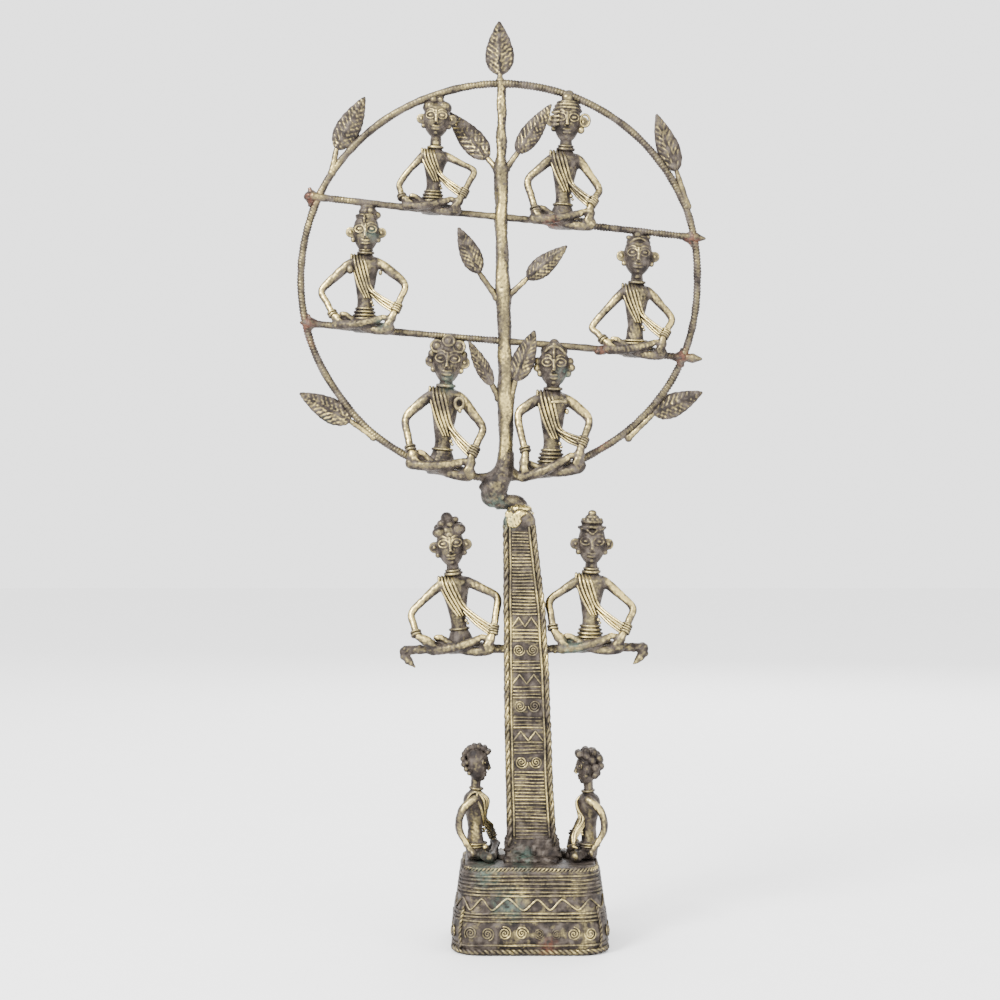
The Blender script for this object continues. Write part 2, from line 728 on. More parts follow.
def foot_shaded(shape):
    """The same shape, rubbed less towards the trunk's foot."""
    shape.shine = shape.shine - 0.2 * np.clip((68 - shape.points[:, 2]) / 16, 0, 1)
    return shape


def trunk_foot_lumps():
    """Rough spill of metal round the trunk's foot."""
    shape = Shape()
    chance = np.random.default_rng(15)
    for i in range(40):
        angle = i / 40 * math.tau
        x = 15.2 + 12.2 * math.copysign(abs(math.cos(angle))**0.5, math.cos(angle))
        y = 7.6 * math.copysign(abs(math.sin(angle))**0.5, math.sin(angle))
        size = chance.uniform(1.0, 1.9)
        shape.add(ball((x, y, TRUNK_FOOT + chance.uniform(0, 2.2)), (size, size * 0.8, size * 1.3), 7, 10))
    for x in (4, 9, 15, 21, 25):
        for face in (-1, 1):
            shape.add(ball((x, face * 6.6, TRUNK_FOOT + 4.4), (3.4, 1.2, chance.uniform(3, 5.5)), 9, 12))
    return cast(shape, 0.55, 3, 0.2, 61, -0.3)


def edge_line(edge, inset, y, low, step):
    """Line up one edge of the trunk, drawn in sideways, on the face at y."""
    heights = np.arange(low, TRUNK_SHOULDER - 1, step)
    line = np.column_stack([edge_x(edge, heights) + inset, np.full(len(heights), y), heights])
    line[:, 0] += 0.14 * ripple(line, 22, 16)
    return line


def trunk_rope(edge, side, seed):
    shape = Shape()
    for face in (-1, 1):
        line = edge_line(edge, side * ROPE * 1.05, face * (TRUNK_FACE + ROPE * 0.35), TRUNK_FOOT + 5, 0.4)
        shape.add(*rope(line, 1.38, 8.4), shine=-0.02)
    return shape.rippled((0.08, 5, seed))


def trunk_borders():
    shape = Shape()
    for face in (-1, 1):
        for edge, side in ((LEFT_EDGE, 1), (RIGHT_EDGE, -1)):
            inset = side * (2 * ROPE + WIRE + 0.5)
            line = edge_line(edge, inset, face * (TRUNK_FACE + 0.25), TRUNK_FOOT + 9, 1.2)
            thick = 0.7 * (1 + 0.12 * ripple(line, 12, 17))
            shape.add(sweep(line, thick, 8), shine=0.05)
    return shape


def room(z):
    """Room for ornament between the border wires at a height."""
    inset = 2 * ROPE + 2 * WIRE + 0.6
    return edge_x(LEFT_EDGE, z) + inset, edge_x(RIGHT_EDGE, z) - inset


def trunk_ladder():
    shape = Shape()
    chance = np.random.default_rng(18)
    for face in (-1, 1):
        for low, count, pitch in LADDERS:
            for i in range(count):
                z = low + i * pitch
                left, right = room(z)
                across = np.linspace(left + chance.uniform(-0.2, 0.2), right + chance.uniform(-0.2, 0.2), 14)
                sink = 0.35 if z < 60 else 0.12
                depth = face * (TRUNK_FACE + 0.3 - sink)
                line = np.column_stack([across, np.full(14, depth), np.full(14, z)])
                line[:, 2] += chance.uniform(-0.12, 0.12) + 0.12 * ripple(line, 12, 19)
                shine = 0.04 + chance.uniform(-0.08, 0.08)
                shape.add(sweep(line, 0.46 * chance.uniform(0.85, 1.1), 7), shine=shine)
    return shape


def trunk_coils():
    shape = Shape()
    for face in (-1, 1):
        for z in TRUNK_COILS:
            left, right = room(z)
            middle = (left + right) / 2
            reach = min(3.5, (right - left) / 4)
            for side in (-1, 1):
                centre = (middle + side * reach * 1.02, face * (TRUNK_FACE + 0.2), z)
                shape.add(*spiral(centre, (-side, 0, 0), (0, 0, 1), reach, 0.45, -1), shine=0.02)
    return shape


def trunk_zigzags():
    shape = Shape()
    strokes = 4
    for face in (-1, 1):
        for z in TRUNK_ZIGZAGS:
            left, right = room(z)
            depth = face * (TRUNK_FACE + 0.25)
            corners = np.array([(left + (right - left) * i / strokes, depth, z - 0.6 + (i % 2) * 4.6)
                                for i in range(strokes + 1)])
            path = np.concatenate([np.linspace(a, b, 8)[:-1] for a, b in zip(corners, corners[1:])]
                                  + [corners[-1:]])
            shape.add(sweep(path, 0.5, 7), shine=0.02)
    return shape


def trunk_cap():
    shape = Shape(ball((8.6, 0, 211.6), (6.4, 5.6, 2.9), 10, 18),
                  ball((5.6, -6.7, 206.0), (3.9, 1.9, 3.9), 10, 16),
                  ball((3.4, -6.3, 209), (2.4, 2.0, 2.0)),
                  ball((8.6, -6.2, 209.5), (2.8, 2.2, 1.9)),
                  ball((8.6, 0, 209.4), (7.4, 7.2, 1.9), 10, 18))
    return cast(shape, 0.4, 5, 0.13, 62, 0.2)


# ---- Neck, stem, ring, branches and perch ----

RING_MIDDLE = np.array((-1, 0, 323.5))
RING_RADIUS = 97
ROD = 1.9


def thread_profile(length, pitch):
    """Round-backed turns of thread along a rod, 1 on their backs and 0 in the grooves between."""
    across = (length / pitch) % 1 * 2 - 1
    return np.sqrt(np.clip(1 - across**2, 0, 1))


THREAD_DEPTH = 0.6


def wound_rod(path, radius, pitch, bare, seed, closed=False):
    """Rod wound with thread, except where `bare` is 1."""
    path = np.asarray(path, float)
    length = travelled(path)[:, None]
    sides = 12
    angle = np.arange(sides)[None] / sides
    turns = thread_profile(length + angle * pitch, pitch)
    amount = np.clip(0.9 + 0.4 * ripple(path, 30, seed), 0.4, 1)[:, None] * (1 - bare[:, None])
    lumps = 0.1 * ripple(path, 7, seed + 1)[:, None]
    girth = radius if np.ndim(radius) == 0 else radius[:, None]
    return sweep(path, girth + lumps + THREAD_DEPTH * amount * (turns - 0.85), sides, closed)


def ring_wobble(degrees):
    """How far the hand-bent ring strays from a circle, by angle from the right."""
    marks = (0, 20, 50, 80, 110, 150, 200, 215, 230, 300, 330, 360)
    drift = (-0.4, 0.9, 0.4, -0.5, -0.8, 0.9, 0.4, -0.3, 0.4, -0.9, 0.3, -0.4)
    return np.interp(degrees, marks, drift)


def ring_bar():
    count = 2700
    angle = np.arange(count) / count * math.tau
    degrees = np.degrees(angle)
    drift = ring_wobble(degrees)
    for _ in range(120):
        drift = (np.roll(drift, 1) + drift + np.roll(drift, -1)) / 3
    reach = RING_RADIUS + drift
    path = np.column_stack([RING_MIDDLE[0] + reach * np.cos(angle), 0.35 * np.sin(3 * angle),
                            RING_MIDDLE[2] + reach * np.sin(angle)])
    bare = np.interp(degrees, (0, 96, 104, 150, 160, 262, 268, 276, 284, 360),
                     (0, 0, 0.75, 0.7, 0, 0, 1, 1, 0, 0))
    return Shape(wound_rod(path, ROD, 1.5, bare, 21, closed=True), shine=-0.12)


def branch(slope, middle, length, wound, seed):
    """Bar across the ring with a flattened spearhead at each end."""
    count = 1100
    along = np.linspace(-length / 2, length / 2, count)
    tilt = math.radians(slope)
    path = np.column_stack([middle[0] + along * math.cos(tilt), np.zeros(count),
                            middle[1] - along * math.sin(tilt)])
    path[:, 2] += 0.35 * np.sin(along / 31) * (1 - (along / length * 2)**4)
    path[:, 1] += 0.4 * np.sin(along / 37 + 1)
    end = length / 2 - np.abs(along)
    girth = np.interp(end, (0, 0.6, 4.5, 8.5, 12), (0.35, 0.9, 2.5, 1.9, 1.75))
    bare = np.interp(along / length + 0.5, *wound)
    bare = np.where(end < 12, 1, bare)
    return Shape(wound_rod(path, girth, 1.45, bare, seed), shine=-0.13)


def branch_middle(node):
    low, high = box_mm(node)
    return (low[0] + high[0]) / 2, (low[2] + high[2]) / 2


def joint_webs():
    """Fillets of metal where bars, ring and stem cross."""
    shape = Shape()
    for x, z in ((-94.3, 364.6), (-95.4, 302.7), (93.6, 344.6), (88.4, 285.9)):
        side = math.copysign(1, x)
        shape.add(ball((x, 0, z), (2.9, 2.6, 2.7)))
        below = [(x - side * 5.5, 0, z), (x - side * 1.5, 0, z - 1.6), (x, 0, z - 5)]
        above = [(x - side * 5, 0, z + 0.4), (x - side * 1, 0, z + 1.6), (x, 0, z + 4.5)]
        shape.add(limb(below, (1.0, 1.9, 1.0)), limb(above, (1.0, 1.8, 1.0)))
    shape.add(ball((49, 0, 289.5), (3.1, 2.4, 2.5)), ball((46.8, -0.6, 288.6), 1.7))
    return cast(shape, 0.4, 4, 0.16, 63, -0.06)


STEM_FOOT = np.array((1.8, 0, 235.2))
STEM_LEAN = math.radians(-0.8)
STEM_GIRTH = ((0, 4.2), (10.2, 3.5), (33, 4.1), (63.5, 3.4), (82, 3.8), (116.5, 2.9), (127.6, 3.4),
              (143.2, 3.5), (148.5, 2.6), (185.8, 2.3))


def stem():
    rise = np.arange(0, 186, 0.45)
    path = STEM_FOOT + rise[:, None] * np.array((math.sin(STEM_LEAN), 0, math.cos(STEM_LEAN)))
    path[:, 0] += 0.5 * np.sin(rise / 24) * np.clip(rise / 20, 0, 1)
    girth = np.interp(rise, *zip(*STEM_GIRTH))
    knots = sum(np.exp(-((rise - knot) / 4.5)**2) for knot in (30.5, 80, 118.5, 143))
    shape = Shape(sweep(path, girth + 0.45 * knots - 0.1, 22))
    lumps = 0.28 * ripple(shape.points * (1, 1, 0.45), 5, 22) + 0.13 * ripple(shape.points, 2.1, 23)
    shape.points = shape.points + shape.normals() * lumps[:, None]
    return shape


def neck():
    """Kinked root between the trunk and the ring, thick and lumpy."""
    shape = Shape(limb([(9, 0, 208.5), (9, 0, 212.6), (7.4, 0, 214.6), (3, 0, 215), (-2.6, 0, 215.4)],
                       (3.6, 3.9, 3.9, 3.8, 4.4)),
                  ball((-4.4, 0, 218.4), (6.2, 6.2, 6.2), 12, 20),
                  ball((-3.6, 0, 222.6), (7.0, 6.8, 6.2), 12, 20),
                  limb([(-4, 0, 222), (0.2, 0, 229), (1.8, 0, 235.5), (2, 0, 240)], (6.6, 5.6, 4.6, 3.9)),
                  limb([(-13, 0, 227.4), (-6, 0, 227.6), (1, 0, 231), (8, 0, 227.6), (15, 0, 227.9)],
                       (1.8, 2.4, 3.6, 2.6, 1.8)))
    chance = np.random.default_rng(24)
    for _ in range(6):
        angle = chance.uniform(0, math.tau)
        height = chance.uniform(-4.5, 6)
        reach = math.sqrt(max(1, 42 - height**2))
        spot = (-3.8 + reach * math.cos(angle), reach * math.sin(angle) * 0.95, 221 + height)
        shape.add(ball(spot, chance.uniform(1.2, 2.0), 7, 10))
    return cast(shape, 0.45, 7, 0.05, 64, -0.06)


def perch():
    low, high = box_mm("perch_bar")
    left = (low[0] + 2.4, 142.4)
    right = (high[0] - 2.4, 144)
    shape = Shape(limb([(left[0], 0, left[1]), (-20, 0, 143.3), (20, 0, 143.0), (right[0], 0, right[1])],
                       (2.3, 2.35, 2.2, 2.3), 14, 1.0))
    for (x, z), side in ((left, 1), (right, -1)):
        shape.add(ball((x + side * 0.6, 0, z - 0.6), (3.0, 2.3, 2.7)))
        shape.add(ball((x + side * 0.3, 0, z - 2.8), (2.6, 2.1, 2.4)))
        shape.add(limb([(x + side * 0.4, 0, z - 2), (x + side * 2.2, 0, z - 5), (x + side * 5.6, 0, z - 8.6)],
                       (2.3, 2.0, 0.45)))
    for x in (-34, -12, 36, 57):
        shape.add(ball((x, -0.4, 143.6), (4.5, 2.5, 2.45)))
    return cast(shape, 0.42, 4, 0.13, 65, -0.04)


# ---- Leaves ----

# Where the stalk is brazed, foot of the blade, tip and width
Leaf = namedtuple("Leaf", "stalk foot tip width")
LEAVES = {
    "top": Leaf((-0.9, 0, 421.5), (-1, 0, 424), (-1.4, 0, 450.4), 13.6),
    "ring_upper_left": Leaf((-83.4, 0, 376.2), (-81.1, 0, 387.8), (-67.1, 0, 413.5), 11.8),
    "ring_upper_right": Leaf((90.9, 0, 359.9), (85.5, 0, 377.2), (75.5, 0, 405.1), 10.8),
    "ring_lower_left": Leaf((-62.9, 0, 246.9), (-74.2, 0, 254.6), (-99.1, -1, 268.3), 11.8),
    "ring_lower_right": Leaf((61.9, 0, 246.5), (74.2, 0, 258.2), (98.1, -1, 268.9), 11.3),
    "stem_upper_left": Leaf((-2.6, 0.6, 378), (-6.9, 2.6, 383.6), (-26.6, 9.5, 407.9), 11.8),
    "stem_upper_right": Leaf((2.2, 0, 378.4), (7.5, 0, 386), (24.1, -1, 409.7), 9.8),
    "stem_middle_left": Leaf((-2.6, 0, 315.2), (-11.1, 0, 327.2), (-21.5, -2, 349.3), 9.8),
    "stem_middle_right": Leaf((3, 0, 315.8), (12.3, 0, 324.5), (31.9, -2, 340.3), 9.6),
    "stem_lower_left": Leaf((-1.6, 0, 265.8), (-4.9, -0.6, 272.3), (-16.3, -4.2, 293.6), 6.9),
    "stem_lower_right": Leaf((4.4, -0.6, 266.4), (6.5, -2.4, 274.3), (16, -5.6, 298.7), 10.8),
}


def blade(foot, tip, width, seed):
    """Leaf blade with a midrib and slanting veins pressed into both faces."""
    foot = np.asarray(foot, float)
    run = np.asarray(tip, float) - foot
    length = np.linalg.norm(run)
    forward = run / length
    across = unit(np.cross(forward, (0, 1, 0)))
    outward = np.cross(across, forward)
    steps = 76
    half = 15
    edge = np.linspace(-1, 1, half * 2 + 1)
    front = np.concatenate([edge, edge[-2:0:-1]])
    face = np.concatenate([np.ones(len(edge)), -np.ones(len(edge) - 2)])
    rings = []
    chance = np.random.default_rng(seed)
    twist = chance.uniform(-0.2, 0.2)
    for share in np.linspace(0.005, 0.995, steps):
        wide = width / 2 * math.sin(math.pi * share**0.68)**0.85 + 0.35
        vein = np.cos((share * 10.5 - np.abs(front) * wide / width * 4.4) * math.tau)
        inside = np.clip((1 - np.abs(front)) * 4, 0, 1) * np.clip(np.abs(front) * wide - 0.7, 0, 1)
        rib = np.exp(-(front * wide / 0.75)**2)
        rim = np.exp(-((np.abs(front) - 0.93) / 0.07)**2)
        thick = 0.62 * (1 - front**6) + 0.12 * vein * inside + 0.5 * rib * (1 - 0.5 * share) + 0.2 * rim
        swing = 0.9 * (np.abs(front) * wide / width * 2)**2 - 0.5 + twist * front * wide * share
        lift = np.sin(share * math.pi) * 0.5
        rings.append(foot + forward * (share * length) + np.outer(front * wide, across)
                     + np.outer(swing + lift + face * thick, outward))
    return lattice(np.array(rings)[:, ::-1])


def leaf_shape(number, leaf):
    start = np.array(leaf.stalk)
    end = np.array(leaf.foot)
    onward = end + unit(np.array(leaf.tip) - end) * 3
    stalk = limb([start, start * 0.5 + end * 0.5 + (0, -0.2, 0), end, onward], (1.8, 1.5, 1.45, 1.0))
    shape = Shape(stalk, ball(start, (2.1, 1.9, 2.1)), shine=-0.02)
    shape.add(blade(leaf.foot, leaf.tip, leaf.width, 70 + number), shine=0.05)
    return shape.rippled((0.11, 2.2, 90 + number))


# ---- Seated figures ----

WAIST_Y = 1.8
SHOULDER = (6.1, 1.2, 30.0)
ARM_GIRTH = (2.4, 2.35, 1.95, 1.85, 1.75, 1.7)
BACK_ARM_GIRTH = (2.4, 2.3, 1.9, 1.8, 1.7)
WRIST_Y = -6.6
ELBOW_Y = -1
FACE_Z = 46.8
EAR_Z = FACE_Z + 0.4
DEPTH = 0.78

# Body radii by height, above the waist and for three kinds of skirt
CHEST = ((41, 2.7), (38, 2.9), (35, 3.1), (33.4, 3.6), (32.2, 5.6), (30.5, 6.9), (28, 6.8), (24, 5.6),
         (18, 4.4), (13.5, 3.7))
SKIRTS = {"bell": ((10.5, 3.6), (8.6, 4.1), (5.5, 5.3), (2.5, 6.8), (0, 7.3), (-2.2, 6)),
          "belts": ((10.5, 3.9), (8.5, 4.6), (5, 5.5), (2, 6.2), (0, 6.3), (-2.2, 5.2)),
          "column": ((10.5, 4.1), (8, 4.3), (6.4, 4.5), (5.7, 6.1), (3, 6.5), (-2.2, 5.4))}

# Lean of the body and tilt of the legs are down to the right, in degrees; elbows and wrists are (x, z) in the
# figure's own frame; shoulder_rise lifts the shoulders and head_shine is how brightly the head is rubbed.
Figure = namedtuple("Figure", "seat size turn lean tilt left_elbow left_wrist right_elbow right_wrist "
                    "headdress skirt half_face shoulder_rise head_shine", defaults=(0, 0.09))
FIGURES = {
    "top_left": Figure((-34.3, 0, 358.2), 0.94, 0, 2.9, 6,
                       (-16.7, 13.5), (-15.1, 5), (21.8, 20.3), (15.8, 6.2), "parted", "belts", 6.8, -1.8),
    "top_right": Figure((29.4, 0, 351.4), 1.06, 0, 2.8, 6,
                        (-15.8, 19.8), (-12.2, 4.7), (17, 15.8), (12.8, 7.5), "turban", "bell", 6.2),
    "middle_left": Figure((-67.6, 0, 300.3), 0.99, 0, 1.2, 5,
                          (-20.8, 18.4), (-14.6, 5.6), (20.2, 20.8), (15.6, 7.6), "tall", "belts", 6.4, 2.7),
    "middle_right": Figure((64.8, 0, 288.2), 1, 0, 2.2, 5,
                           (-20.5, 12.8), (-15, 5.3), (18.2, 16.6), (13.6, 7), "smooth", "column", 6.9),
    "lower_left": Figure((-29.9, 0, 230.9), 1.12, 0, 3.5, 11,
                         (-15.3, 21.7), (-12.9, 8.2), (18.2, 18.2), (13.4, 6), "curls", "bell", 6.2, 2.3),
    "lower_right": Figure((24, 0, 229.8), 1.1, 0, 1.5, -10,
                          (-14.6, 24), (-11.4, 8.8), (16.8, 22.4), (13.2, 11.4), "band", "belts", 6.4, 2.5),
    "perch_left": Figure((-20, 0, 143.3), 1.07, 0, -6, -1,
                         (-22.6, 16.3), (-20.1, 6.3), (16.4, 23.4), (14.4, 7), "balls", "bell", 6.2, 0, -0.03),
    "perch_right": Figure((43.1, 0, 144), 1.07, 0, 1, -1,
                          (-18.4, 21.2), (-17, 8.4), (19.5, 18), (15.2, 7), "tiers", "belts", 6.3),
    "base_left": Figure((-11.5, -2, 43), 0.93, 85, 0, 0,
                        (-9, 20), (-9.5, 3), (14, 18), (12.5, 7), "crown", "column", 5.8, 0, -0.1),
    "base_right": Figure((41, -1, 43), 0.89, -88, 0, 0,
                         (-15, 19), (-13, 8), (9, 20), (9.5, 3), "lumps", "column", 5.8, 0, 0.0),
}
# How much deeper the bodies on the base are, seen from the side
SWELL = 0.3
# Figures turned more than this many degrees show one side, and their far arm is built in a simpler way
SIDE_ON = 40


def leaned(points, degrees):
    """Points of the upper body after it leans to the right."""
    points = np.asarray(points, float)
    turn = math.radians(degrees)
    across = points[..., 0] * math.cos(turn) + points[..., 2] * math.sin(turn)
    height = points[..., 2] * math.cos(turn) - points[..., 0] * math.sin(turn)
    return np.stack([across, points[..., 1], height], -1)


def shrugged(points, rise):
    """Points of the body after its shoulders rise."""
    share = np.clip((points[:, 2] - 18) / 12, 0, 1)
    return points + (rise * share**2 * (3 - 2 * share))[:, None] * (0, 0, 1)


def swollen(points):
    """Points of the body after it swells front and back, between the legs and the shoulders."""
    x, y, z = points.T
    share = np.clip((z - 3) / 4, 0, 1) * np.clip((33 - z) / 8, 0, 1) * np.clip((9 - np.abs(x)) / 3, 0, 1)
    return np.column_stack([x, WAIST_Y + (y - WAIST_Y) * (1 + SWELL * share), z])


def seated(points, figure):
    """Puts a figure's own points on its seat."""
    turn = math.radians(figure.turn)
    spin = np.array([[math.cos(turn), -math.sin(turn), 0], [math.sin(turn), math.cos(turn), 0], [0, 0, 1]])
    return np.array(figure.seat) + figure.size * points @ spin.T


def torso(skirt):
    marks = np.array(CHEST + SKIRTS[skirt])[::-1]
    heights = np.arange(marks[0][0], marks[-1][0], 0.7)
    return upright(heights, np.interp(heights, marks[:, 0], marks[:, 1]), WAIST_Y, DEPTH, 28)


def torso_front(x, z, skirt):
    """Depth of the body's front surface at a place."""
    marks = np.array(CHEST + SKIRTS[skirt])[::-1]
    radius = np.interp(z, marks[:, 0], marks[:, 1])
    return WAIST_Y - DEPTH * math.sqrt(max(radius**2 - x**2, 0.3))


def turned_away(figure, side):
    """Whether a figure's arm on that side is its far arm."""
    return side * figure.turn < -SIDE_ON


def arm_route(figure, side):
    """Shoulder, upper arm, elbow, forearm and hand."""
    elbow = figure.left_elbow if side < 0 else figure.right_elbow
    wrist = figure.left_wrist if side < 0 else figure.right_wrist
    top = leaned((side * SHOULDER[0], SHOULDER[1], SHOULDER[2]), figure.lean)
    inside = leaned((side * 3.4, 1.6, 30.6), figure.lean)
    if turned_away(figure, side):
        bow = [(elbow[0], 7.5, elbow[1] + 4), (elbow[0], 9, elbow[1] - 6)]
        return [inside, top, *bow, (wrist[0], 3, wrist[1])]
    bend = np.array((elbow[0], ELBOW_Y, elbow[1]))
    hand = np.array((wrist[0], WRIST_Y, wrist[1]))
    upper = (top + bend) / 2 + (side * 0.2, 0, 0.4)
    fore = (bend + hand) / 2 + (side * 0.3, 0, 0)
    return [inside, top, upper, bend, fore, hand]


def hand_skins(wrist, side, knee):
    """Hand that runs from the wrist down onto the knee."""
    wrist = np.asarray(wrist, float)
    palm = wrist * 0.45 + knee * 0.55
    skins = [limb([wrist, palm, knee], (1.75, 2.3, 2.2)), ball(palm, (2.6, 2.0, 2.5))]
    for finger in (-1, 0, 1):
        tip = knee + np.array((finger * 1.1 - side * 0.8, -1.6, -0.6))
        skins.append(limb([palm, (palm + tip) / 2 + (0, -0.9, 0), tip], (0.9, 0.85, 0.6), 8))
    return skins


def leg_skins():
    """Crossed legs: the left shin lies in front, the right foot comes up behind the left hand."""
    left = limb([(-3.5, -0.5, 1.2), (-9, -3.5, 1.2), (-12.8, -6.4, 0.2), (-6, -8.2, 0.4),
                 (2, -8.4, 2.4), (8.4, -7.8, 4.8)], (2.6, 2.5, 2.5, 2.25, 2.1, 1.75))
    right = limb([(3.5, -0.5, 1.2), (9, -3.5, 0.8), (12.6, -6.2, -0.4), (6, -6.4, -1.0), (-1, -5.2, 0.2),
                  (-6.5, -4.2, 3.6), (-9.6, -4.4, 5.6)], (2.6, 2.5, 2.5, 2.3, 2.05, 1.8, 1.6))
    feet = [ball((9.6, -7.4, 5.4), (2.4, 1.7, 1.5)), ball((-10.4, -4.6, 5.4), (2.3, 1.6, 1.6)),
            ball((-12.6, -6.8, 0.2), (3.2, 2.5, 2.8)), ball((12.2, -6.8, 0.4), (3.6, 2.7, 3.2)),
            ball((11.6, -8.0, 1.4), (2.2, 1.6, 2.0)), ball((0, -1, -0.6), (9.5, 4.6, 1.9), 9, 20)]
    toes = [ball((11.4, -7.6 + 0.9 * i, 5.9 - 0.5 * i), 0.75, 6, 8) for i in range(3)]
    return [left, right, *feet, *toes]


# ---- Heads ----

# Face radius by height above the face's middle
FACE = ((-10.4, 2.3), (-8.6, 2.6), (-7.4, 3.9), (-5.4, 5.4), (-1.5, 6.6), (3, 6.8), (6, 6.1),
        (8, 4.4), (9.2, 1.4))


def face_radius(z, half_width):
    marks = np.array(FACE)
    return np.interp(z, marks[:, 0], marks[:, 1]) * half_width / 6.8


def face_front(x, z, half_width):
    """Depth of the face's surface at a place on it."""
    radius = face_radius(z, half_width)
    return 0.6 - 0.86 * math.sqrt(max(radius**2 - x**2, 0.5))


def on_face(x, z, half_width, out=0.0):
    return np.array((x, face_front(x, z, half_width) - out, FACE_Z + z))


def skull(half_width):
    heights = np.linspace(-10.4, 9.2, 34)
    return upright(FACE_Z + heights, face_radius(heights, half_width), 0.6, 0.9, 30)


def eye_skins(side, half_width):
    """Bulging eye in a ring of wax thread."""
    x = side * 3.0
    middle = on_face(x, 1.7, half_width)
    across = unit(on_face(x + 1, 1.7, half_width) - on_face(x - 1, 1.7, half_width))
    return [ball(middle - (0, 0.15, 0), (1.35, 0.8, 0.75)),
            wire_ring(middle - (0, 0.25, 0), across, (0, 0, 1), (2.5, 1.75), 0.5, 6, 24)]


def brow(side, half_width, lift=4.3):
    spots = [on_face(side * x, lift + rise, half_width, 0.15)
             for x, rise in ((0.9, -0.5), (2.6, 0.5), (4.3, 0.2), (5.4, -1))]
    return limb(spots, (0.7, 0.8, 0.7, 0.5), 7, 0.5)


def nose_skins(half_width):
    tip = on_face(0, -2.2, half_width, 1.7)
    ridge = [on_face(0, 4.4, half_width, 0.1), on_face(0, 1.2, half_width, 0.7), tip]
    return [limb(ridge, (0.75, 0.85, 1.15), 9, 0.5),
            ball(tip + (0.9, 0.45, -0.1), 0.75, 6, 8), ball(tip + (-0.9, 0.45, -0.1), 0.75, 6, 8)]


def mouth_skins(half_width):
    skins = []
    for z, thick in ((-4.0, 0.72), (-5.4, 0.78)):
        spots = [on_face(x * 2.6, z + 0.25 * abs(x), half_width, 0.3) for x in (-1, -0.5, 0, 0.5, 1)]
        skins.append(limb(spots, (0.3, thick, thick, thick, 0.3), 7, 0.4))
    return skins


def ear_skins(half_width):
    """Discs over the ears with a boss, and a drop under each."""
    skins = []
    for side in (-1, 1):
        x = side * (half_width + 1.2)
        skins.append(ball((x, 0.2, EAR_Z), (2.6, 1.5, 2.7)))
        skins.append(wire_ring((x, -0.5, EAR_Z), (1, 0, 0), (0, 0, 1), 2.1, 0.5, 6, 24))
        skins.append(ball((x, -0.9, EAR_Z), 0.95, 7, 10))
        skins.append(ball((side * (half_width - 0.2), -0.3, EAR_Z - 3.7), 1.4, 8, 12))
    return skins


def band(z, radius, thick, lift=0.0):
    """Ring round the head, higher at the front by `lift`."""
    return wire_ring((0, 0.8, z), (1, 0, 0), (0, -1, lift), (radius, radius * 0.88), thick, 8, 36)


def fan(count, first, last):
    """Evenly spread angles, given in degrees."""
    return [math.radians(first + (last - first) * i / (count - 1)) for i in range(count)]


def bead_row(count, radius, z, first, last, bead):
    """Row of beads round the head."""
    return [ball((radius * math.cos(angle), 0.8 + 0.9 * radius * math.sin(angle), z), bead, 8, 12)
            for angle in fan(count, first, last)]


def bead_arcs(arcs, reach, bead, first, last):
    """Beads over the head from front to back, in planes at each (x, count)."""
    return [ball((x, 0.8 - reach * math.cos(angle), 49.6 + reach * math.sin(angle)), bead, 8, 12)
            for x, count in arcs for angle in fan(count, first, last)]


def arc_over(z, radius, thick, droop):
    """Raised line over the forehead from temple to temple."""
    spots = []
    for degrees in np.linspace(195, 345, 9):
        angle = math.radians(degrees)
        fall = droop * abs(math.cos(angle))**2
        spots.append((radius * math.cos(angle), 0.7 + 0.88 * radius * math.sin(angle), z - fall))
    return limb(spots, (thick,) * 9, 8, 0.5)


def eggs(*entries):
    """Lumps of hair as (x, y, z, width, depth, height)."""
    return [ball(entry[:3], entry[3:]) for entry in entries]


def hair_parted():
    return eggs((-3.3, 0.8, 53.4, 4.4, 5, 3.6), (3.4, 0.8, 53.4, 4.4, 5, 3.6), (0, 1.4, 56, 4.6, 4.2, 2.8),
                (-1.9, -2.7, 56.8, 2.1, 1.9, 1.9), (1.5, -2.3, 56.9, 1.8, 1.7, 1.7),
                (0.2, 0.8, 59.2, 3.4, 2.6, 2.3))


def hair_turban():
    curls = [limb([(-7.4, -2.4, 50.8 - 1.9 * i), (-5.6, -3.7, 50.5 - 1.9 * i), (-3.6, -4.6, 50.8 - 1.9 * i)],
                  (0.7, 0.9, 0.6), 8, 0.5) for i in range(4)]
    return [*eggs((0, 0.8, 54.4, 5.7, 5, 3.4), (-0.4, -1.4, 57.9, 2.8, 2.5, 2.4),
                  (0.3, 0.8, 60, 2.6, 2.4, 2)),
            band(52.4, 6.2, 0.7, 0.12), band(54.2, 5.6, 0.7, 0.1), band(55.9, 4.7, 0.65), *curls]


def hair_tall():
    strip = limb([(-0.6, -4.4, 55.4), (-0.7, -5.2, 53.4), (-0.7, -5.6, 51.4)], (0.5, 0.9, 0.4), 8, 0.4)
    return [*eggs((0.2, 1, 54.6, 5.6, 5, 3), (0.6, 1, 57.6, 4.7, 4, 3), (0.6, 1, 60, 3.9, 3.4, 2.4),
                  (2, -2.7, 57.8, 1.7, 1.6, 1.5), (5.4, 1, 56, 1.9, 1.9, 1.9)),
            strip, band(55.6, 5.0, 0.6), brow(-1, 6.6, 5.6)]


def hair_smooth():
    return [*eggs((0, 1, 54, 6.1, 5.3, 3.6), (0, 1, 58.4, 3.4, 3, 2.4), (-0.8, -2.4, 57.2, 2.1, 1.8, 1.8),
                  (4.2, -0.4, 56.6, 1.8, 1.7, 1.2), (-4.8, -0.4, 56.2, 1.6, 1.6, 1.2)),
            arc_over(55.4, 6.0, 0.75, 4.2), band(56.4, 4.4, 0.7)]


